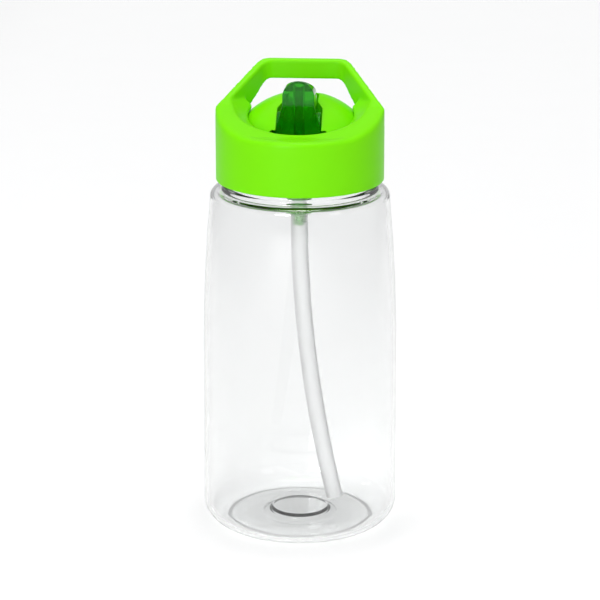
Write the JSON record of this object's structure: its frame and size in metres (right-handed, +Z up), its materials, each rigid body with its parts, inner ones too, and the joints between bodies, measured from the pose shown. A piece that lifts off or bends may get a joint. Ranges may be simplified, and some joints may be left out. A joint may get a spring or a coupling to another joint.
{
  "type": "water bottle",
  "caption": "Clear bottle with a screw cap, a carry handle leaning back over the lid, and a drinking spout that folds down into a domed lid above a straw.",
  "frame": {"origin": "middle of the circle that the bottle stands on", "axes": "+Z up along the bottle, -Y towards the drinking side, +Y towards the handle, +X to the right as seen from the drinking side"},
  "size_m": [0.0734, 0.0734, 0.1738],
  "materials": {
    "clear_wall": "clear polished copolyester",
    "lime_cap": "satin moulded polypropylene",
    "lime_dome": "satin moulded polypropylene",
    "green_spout": "dark green translucent gloss",
    "green_nozzle": "dark green translucent gloss",
    "milky_straw": "milky translucent polyethylene",
    "silicone": "soft clear-white silicone"
  },
  "bodies": {
    "bottle": {"bottle_body": "clear_wall"},
    "gasket": {"neck_gasket": "silicone"},
    "cap": {"cap_shell": "lime_cap", "dome_insert": "lime_dome", "spout_seal": "silicone", "straw_nozzle": "green_nozzle", "straw": "milky_straw", "vent_valve": "silicone"},
    "spout": {"spout": "green_spout"}
  },
  "joints": [
    {"name": "cap_lift", "type": "slide", "parent": "bottle", "child": "gasket", "axis": [0, 0, 1], "range_m": [0, 0.005]},
    {"name": "cap_turn", "type": "hinge", "parent": "gasket", "child": "cap", "pos_m": [0, 0, 0.14], "axis": [0, 0, 1], "range_deg": [0, 450]},
    {"name": "spout_flip", "type": "hinge", "parent": "cap", "child": "spout", "pos_m": [0, -0.004, 0.153], "axis": [-1, 0, 0], "range_deg": [0, 80]}
  ],
  "couplings": [
    {"joint": "cap_turn", "follows": "cap_lift", "rad_per_m": 1570.8}
  ]
}
